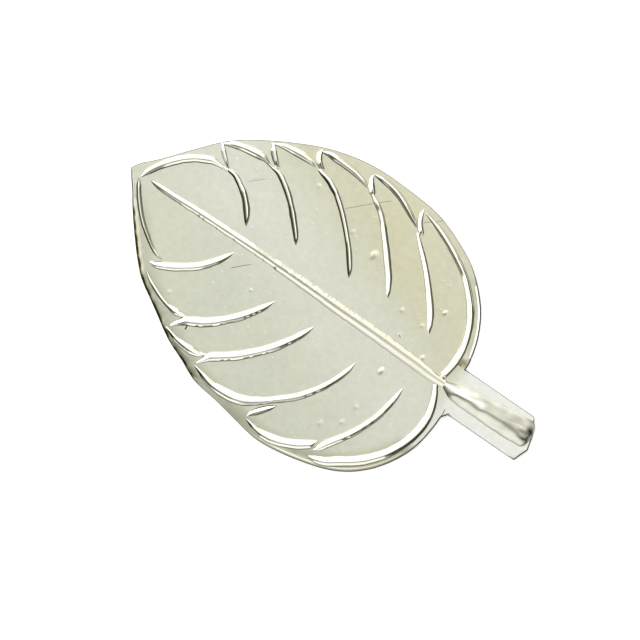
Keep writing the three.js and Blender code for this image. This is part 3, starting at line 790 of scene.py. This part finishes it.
bmesh.ops.dissolve_verts(mesh, verts=[v for v in mesh.verts if 0 < corner_distance(v) < CORNER_ROOM])
for _ in range(SOFTENING):
    away = [v for v in mesh.verts if corner_distance(v) > 2 * CORNER_ROOM]
    bmesh.ops.smooth_vert(mesh, verts=away, factor=0.5, use_axis_x=True, use_axis_y=True)
mesh.faces.ensure_lookup_table()
face = mesh.faces[0]
outline = face.verts[:]
print("outline of", len(outline), "points with", len(corners), "sharp corners, area",
      round(face.calc_area() / MM ** 2, 1), "mm2")

# %% What the edge is like, all the way round
EdgeKind = namedtuple("EdgeKind", "burr worn lip droop clean shade")
TIP_CLEAR = 8.5 * MM, 10.5 * MM
TAB_START = 11.9 * MM, 12.3 * MM
LIP_START = 0, 1 * MM
NIBBLE = 0.7 * MM
NIBBLED = -0.4, 0.3
# How far the edge has to face one way, as a cosine: where a feature starts, and where it is full.
BURR_DOWN = 0.75, 0.9
WORN_LEFT = 0.7, 0.9
LIP_RIGHT = 0.65, 0.8
DROOP_DOWN = 0.25, 0.6
DROOP_RIGHT = 0, 0.6
CLEAN_UP = 0.2, 0.4
CLEAN_OUTSIDE = 0.93, 0.98
SHADE_LEFT = 0.5, 0.8
SHADE_DOWN = 0.45, 0.75
SHADE_RIGHT = -0.5, -0.2
BOTTOM_SHADE = 2


def edge_kind(points, i):
    """Shares of burr, wear, lip, droop, clean cut and shade, from the way that a point of the edge faces."""
    place = points[i].co
    outward = (points[(i + 1) % len(points)].co - points[i - 1].co).cross(UP).normalized()
    right, upward, outside = (outward.dot(way) for way in (RIGHT, UPWARD, OUTSIDE))
    off_tab = 1 - ramp(place.x, *TAB_START)
    below_tip = 1 - ramp((place - VIEW_CENTRE).dot(UPWARD), *TIP_CLEAR)
    nibbled = (1 + ramp(noise.noise(place / NIBBLE), *NIBBLED)) / 2
    bottom = BOTTOM_SHADE * ramp(-upward, *SHADE_DOWN) * ramp(right, *SHADE_RIGHT)
    left = ramp(max(-right, outside), *SHADE_LEFT) * below_tip
    return EdgeKind(
        burr=ramp(-upward, *BURR_DOWN) * off_tab,
        worn=ramp(-right, *WORN_LEFT) * below_tip * nibbled,
        lip=ramp(right - max(0, upward), *LIP_RIGHT) * off_tab * ramp(place.y, *LIP_START),
        droop=ramp(-upward, *DROOP_DOWN) * (0.55 + 0.45 * ramp(right, *DROOP_RIGHT)) * off_tab,
        clean=max(ramp(upward, *CLEAN_UP), ramp(outside, *CLEAN_OUTSIDE)),
        shade=max(bottom, left) * off_tab,
    )


kinds = [edge_kind(outline, i) for i in range(len(outline))]
nearest = KDTree(len(outline))
for i, vert in enumerate(outline):
    nearest.insert(vert.co, i)
nearest.balance()
print("lip on", sum(kind.lip > 0.5 for kind in kinds), "points")

# %% The burr, the worn edge and the lip
# Each ring from the rim inward, in mm: how far it lies in from the ring before, the share of its way to the
# rim that it moves out on a clean cut and in on a lip, and its height on a plain edge, a burr, a worn edge
# and a lip.
EDGE_RINGS = (
    (0, 0, -0.08, -0.12, -0.3, -0.13),
    (0.09, 0.5, 0, 0.03, -0.25, 0.07),
    (0.08, 0, 0, 0.06, -0.17, 0.055),
    (0.09, 0, 0, 0.025, -0.08, 0.02),
    (0.12, 0, 0, 0, 0, 0),
)
RIM_DARK = 0.05 * MM, 0.13 * MM

edge_loops, edge_faces = [], []
for inset, *_ in EDGE_RINGS[1:]:
    ring = bmesh.ops.inset_region(mesh, faces=[face], thickness=inset * MM, use_boundary=True,
                                  use_even_offset=True)["faces"]
    edge_faces.append(ring)
    edge_loops.append({v for f in ring for v in f.verts} - set(face.verts))
edge_loops.append(set(face.verts))
for loop, (_, slide, plain, burr, worn, lip) in zip(edge_loops, EDGE_RINGS):
    for vert in loop:
        place, i, _ = nearest.find(vert.co)
        kind = kinds[i]
        vert.co = vert.co.lerp(place, slide * (kind.clean - kind.lip))
        rise = plain + (burr - plain) * kind.burr + (worn - plain) * kind.worn + (lip - plain) * kind.lip
        vert.co.z += rise * MM
        # The rim darkens as it drops from the face: painted shade, with oxide on the cut.
        vert[painted_shade_and_tarnish] = ramp(FACE - vert.co.z, *RIM_DARK)
print("edge of", len(edge_loops), "rings")

# %% The wall and the back
WALL_FOOT = 0.05 * MM
DARK_BELOW = FACE - 0.15 * MM
SHEET, CUT, BRIGHT = range(3)
HIGHLIGHT_RINGS = ((1, "lip"), (2, "lip"), (2, "burr"))

rim = [e for e in mesh.edges if e.is_boundary]
wall = bmesh.ops.extrude_edge_only(mesh, edges=rim)["geom"]
for vert in [g for g in wall if isinstance(g, bmesh.types.BMVert)]:
    vert.co.z = WALL_FOOT
wall_edges = [g for g in wall if isinstance(g, bmesh.types.BMEdge)]
back = bmesh.ops.contextual_create(mesh, geom=wall_edges)["faces"][0]
bmesh.ops.inset_region(mesh, faces=[back], thickness=WALL_FOOT, use_boundary=False, use_even_offset=True)
for vert in back.verts:
    vert.co.z = 0
for f in set(mesh.faces) - {back}:
    f.material_index = CUT if f in edge_faces[0] or f.calc_center_median().z < DARK_BELOW else SHEET
# The lip and the burr take the bright wire silver: polish, and a painted highlight along the rim.
for ring, feature in HIGHLIGHT_RINGS:
    for f in edge_faces[ring]:
        if min(getattr(kinds[nearest.find(v.co)[1]], feature) for v in f.verts) > 0.5:
            f.material_index = BRIGHT
print("back of", len(back.verts), "points")

# %% [markdown]
# ## The face
# The face is one large polygon, which can't hold a dent. Planes cut it into a grid. Scratches and nicks are
# cut into that as shallow grooves, with the shade in them painted dark by the cut-edge silver, and the grid
# is divided again where a small bead of metal stands on it. The sheet droops a little along the bottom, and a
# slow wave keeps the reflection from being dead flat.

# %% The face as a grid
GRID = 0.4 * MM
LEVEL = 0.0001 * MM


def level_faces(mesh):
    return [f for f in mesh.faces if all(abs(v.co.z - FACE) < LEVEL for v in f.verts)]


def cut(mesh, faces, place, direction):
    parts = {*faces, *(e for f in faces for e in f.edges), *(v for f in faces for v in f.verts)}
    bmesh.ops.bisect_plane(mesh, geom=list(parts), plane_co=place, plane_no=direction)


for direction in (Vector((1, 0, 0)), Vector((0, 1, 0))):
    reach = [v.co.dot(direction) for v in mesh.verts]
    for k in range(math.ceil(min(reach) / GRID), math.floor(max(reach) / GRID) + 1):
        cut(mesh, level_faces(mesh), direction * k * GRID, direction)
print("face cut into", len(level_faces(mesh)), "parts")

# %% Scratches and nicks
# Where each one starts and ends, and how wide it is, in mm.
GROOVES = (
    ((-3.44, 7.95), (-0.85, 10.44), 0.03),
    ((-8.6, -1.59), (-7.47, -0.46), 0.04),
    ((-11.46, 5.05), (-10.37, 6.1), 0.02),
    ((12.61, -1.73), (12.56, -1.21), 0.06),
    ((5.95, 1.73), (6.2, 1.57), 0.05),
    ((-8.88, -7.5), (-8.86, -7.9), 0.12),
    ((2.67, 10.7), (3.62, 11.5), 0.03),
)
GROOVE_DEPTH = 0.002 * MM

for start, end, width in GROOVES:
    start, end = (Vector((*p, 0)) * MM + UP * FACE for p in (start, end))
    length = (end - start).length
    forward = (end - start) / length
    aside = UP.cross(forward)
    for offset in (-width / 2 * MM, 0, width / 2 * MM):
        close = [f for f in level_faces(mesh)
                 if any(-GRID < (v.co - start).dot(forward) < length + GRID and
                        abs((v.co - start).dot(aside)) < GRID for v in f.verts)]
        cut(mesh, close, start + aside * offset, aside)
    for place in (start, end):
        close = [f for f in level_faces(mesh) if any((v.co - place).length < GRID for v in f.verts)]
        cut(mesh, close, place, forward)
    for vert in mesh.verts:
        share = (vert.co - start).dot(forward) / length
        if 0 < share < 1 and abs((vert.co - start).dot(aside)) < LEVEL and abs(vert.co.z - FACE) < LEVEL:
            vert.co.z -= GROOVE_DEPTH * math.sin(math.pi * share)
            # Painted shade in the groove: its faces take the dark cut-edge silver.
            for f in vert.link_faces:
                f.material_index = CUT
print(len(GROOVES), "grooves")

# %% Beads of metal and the corner by the tab, divided finer
# The place, radius and height of each bead, in mm.
BEADS = (
    (0.52, 5.97, 0.36, 0.056), (-1.98, 6.56, 0.22, 0.024), (-6.44, 8.1, 0.2, 0.024),
    (4.99, 3.54, 0.2, 0.032), (8.05, 5.35, 0.19, 0.056), (7.1, 3.39, 0.18, 0.032),
    (6.39, -5.2, 0.22, 0.024), (6.14, -6.87, 0.24, 0.024), (4.69, -7.97, 0.22, 0.024),
    (-6.21, -2.15, 0.14, 0.032), (-11.69, -6.11, 0.2, 0.024), (6.41, -1.59, 0.28, 0.056),
    (8.59, 1.21, 0.22, 0.048), (5.95, 1.7, 0.18, 0.024),
)
BEAD_ROOM = 0.2
BEAD_CUTS = 4
WIPED = (RIGHT + UPWARD).normalized()
DRAWN_OUT = 1.6
TAB_ROOT = 11.7, 2.45
ROOT_ROOM = 0.4

for x, y, radius, _ in (*BEADS, (*TAB_ROOT, ROOT_ROOM, 0)):
    centre = Vector((x, y, 0)) * MM + UP * FACE
    reach = (radius * DRAWN_OUT + BEAD_ROOM) * MM
    level = set(level_faces(mesh))
    close = {e for v in mesh.verts if (v.co - centre).length < reach for e in v.link_edges}
    inside = [e for e in close if level.issuperset(e.link_faces)]
    bmesh.ops.subdivide_edges(mesh, edges=inside, cuts=BEAD_CUTS, use_grid_fill=True)
print(len(BEADS), "places for beads")

# %% The beads, the droop, the shade and the wave
DROOP = 0.16 * MM
DROOP_REACH = 1 * MM
EDGE_SHADE = 0.13
SHADE_REACH = 0.9 * MM, 1.7 * MM
WEDGE_FRONT = -0.08 * MM, 0.03 * MM
WEDGE_BACK = 0.1 * MM, 0.8 * MM
WEDGE_SIDE = 0.25 * MM, 0.45 * MM
WEDGE_DARK = 0.8
WAVE = 6 * MM
WAVE_HEIGHT = 0.012 * MM


def beads_at(place):
    """The height of the beads at a place, each drawn out the way that it was wiped."""
    total = 0
    for x, y, radius, height in BEADS:
        off = (place - Vector((x, y, 0)) * MM).xy
        share = math.hypot(off.dot(WIPED.xy) / DRAWN_OUT, off.cross(WIPED.xy)) / (radius * MM)
        total += height * MM * max(0, 1 - share ** 2) ** 2
    return total


def wedge_at(place):
    """The painted shade in the crease of the inner corner between the leaf and its tab, from 0 to 1."""
    off = place.xy - Vector(TAB_ROOT) * MM
    crease = ramp(off.y, *WEDGE_FRONT) * (1 - ramp(off.y, *WEDGE_BACK))
    return crease * (1 - ramp(abs(off.x), *WEDGE_SIDE))


for vert in mesh.verts:
    if vert.co.z > FACE / 2:
        _, i, off = nearest.find(vert.co)
        vert.co.z += beads_at(vert.co)
        vert.co.z -= DROOP * kinds[i].droop * max(0, 1 - off / DROOP_REACH)
        # Painted shade on the strip along the lower and left edges, and in the corner by the tab.
        shade = EDGE_SHADE * kinds[i].shade * (1 - ramp(off, *SHADE_REACH))
        vert[painted_shade_and_tarnish] = max(vert[painted_shade_and_tarnish], WEDGE_DARK * wedge_at(vert.co), shade)
        vert.co.z += WAVE_HEIGHT * noise.noise(vert.co / WAVE)
blade = finished(mesh, "blade", [sheet_silver, cut_edge, wire_silver])
print("blade", len(blade.data.vertices), "vertices")

# %% [markdown]
# ## Table and light
# The leaf lies on a white table. Polished metal shows its surroundings more than its own colour, so the
# lights are set for what each flank reflects: a white wall behind the picture's top edge with a warm card at
# its right, a white card on the left, two dim ones below, one overhead toward the right, and none low on the
# right. The sky over the camera gives the flat face its grey.

# %% A white table
TABLE_HALF = 0.9
TABLE_DROP = 0.01 * MM
PAPER_GLOW = 0.4

table_mesh = bmesh.new()
bmesh.ops.create_grid(table_mesh, x_segments=1, y_segments=1, size=TABLE_HALF)
bmesh.ops.translate(table_mesh, verts=table_mesh.verts, vec=(0, 0, -TABLE_DROP))
table_data = bpy.data.meshes.new("table")
table_mesh.to_mesh(table_data)
table_mesh.free()
table = bpy.data.objects.new("table", table_data)
bpy.context.scene.collection.objects.link(table)

white_paper, tree = new_material("white paper")
# Seen straight or in the silver, the paper glows a little, so that it is white and the leaf's shadow stays.
path = add_node(tree, "ShaderNodeLightPath")
seen = add_node(tree, "ShaderNodeMath", {"operation": "MAXIMUM"},
                {0: path.outputs["Is Camera Ray"], 1: path.outputs["Is Glossy Ray"]})
fill = add_node(tree, "ShaderNodeMath", {"operation": "MULTIPLY"}, {0: seen.outputs["Value"], 1: PAPER_GLOW})
glow = add_node(tree, "ShaderNodeEmission", {},
                {"Color": linear("#FFFFFF"), "Strength": fill.outputs["Value"]})
paper = add_node(tree, "ShaderNodeBsdfDiffuse", {}, {"Color": linear("#F0F0EE")})
both = add_node(tree, "ShaderNodeAddShader", {}, {0: glow.outputs["Emission"], 1: paper.outputs["BSDF"]})
add_node(tree, "ShaderNodeOutputMaterial", {}, {"Surface": both.outputs["Shader"]})
table_data.materials.append(white_paper)
print("table", table.name)

# %% Walls and cards of light
AWAY = 0.28
POWER_PER_AREA = 4
LIT, DIM, WARM, OVERHEAD = 1.35, 0.84, 0.8, 1.15


def light_card(name, centre, facing, across, width, height, level, hex_colour="#FFFFFF"):
    """A soft card of light, seen by the silver but not by the camera."""
    data = bpy.data.lights.new(name, "AREA")
    data.shape = "RECTANGLE"
    data.size, data.size_y = width, height
    data.energy = level * POWER_PER_AREA * width * height
    data.color = linear(hex_colour)[:3]
    card = bpy.data.objects.new(name, data)
    card.matrix_world = Matrix((across, across.cross(facing), -facing)).transposed().to_4x4()
    card.location = centre
    card.visible_camera = False
    bpy.context.scene.collection.objects.link(card)
    print(name, "of", width, "by", height, "m")


# Each card has its middle, the way it faces, the way its width runs, its width and height, and its level.
above, below, left = UPWARD * AWAY, -UPWARD * AWAY, -RIGHT * AWAY
light_card("wall above", above - RIGHT * 0.18 + UP * 0.62, -UPWARD, RIGHT, 0.7, 1.2, LIT)
light_card("warm card", above + RIGHT * 0.36 + UP * 0.26, -UPWARD, RIGHT, 0.36, 0.4, WARM, "#FFFAEE")
light_card("card over it", above + RIGHT * 0.36 + UP * 0.84, -UPWARD, RIGHT, 0.36, 0.76, LIT)
light_card("card left", left + UPWARD * 0.105 + UP * 0.405, RIGHT, UPWARD, 0.39, 0.71, LIT)
light_card("card below", below - RIGHT * 0.01 + UP * 0.225, UPWARD, RIGHT, 0.26, 0.39, DIM)
light_card("low card below", below - RIGHT * 0.2 + UP * 0.195, UPWARD, RIGHT, 0.12, 0.33, DIM)
light_card("card overhead", RIGHT * 0.36 + UPWARD * 0.08 + UP * 0.8, -UP, RIGHT, 0.4, 0.66, OVERHEAD)

# %% The sky over the leaf
# Its colours by height, from 0 at the horizon to 1 overhead.
SKY = ((0.0, "#BCBAB0"), (0.2, "#A8A598"), (0.42, "#88846F"), (0.55, "#4F4A38"), (0.88, "#4F4A38"),
       (0.95, "#BCBBB2"), (0.985, "#FFFEF8"))

world = bpy.data.worlds.new("studio")
bpy.context.scene.world = world
world.use_nodes = True
tree = world.node_tree
tree.nodes.clear()
direction = add_node(tree, "ShaderNodeTexCoord")
height = add_node(tree, "ShaderNodeSeparateXYZ", {}, {"Vector": direction.outputs["Generated"]})
levels = add_node(tree, "ShaderNodeValToRGB", {}, {"Fac": height.outputs["Z"]})
while len(levels.color_ramp.elements) < len(SKY):
    levels.color_ramp.elements.new(0.5)
for stop, (rise, hex_colour) in zip(levels.color_ramp.elements, SKY):
    stop.position = rise
    stop.color = linear(hex_colour)
sky = add_node(tree, "ShaderNodeBackground", {}, {"Color": levels.outputs["Color"], "Strength": 1})
add_node(tree, "ShaderNodeOutputWorld", {}, {"Surface": sky.outputs["Background"]})
bpy.context.scene.view_settings.view_transform = "Standard"
print("sky with", len(SKY), "levels")
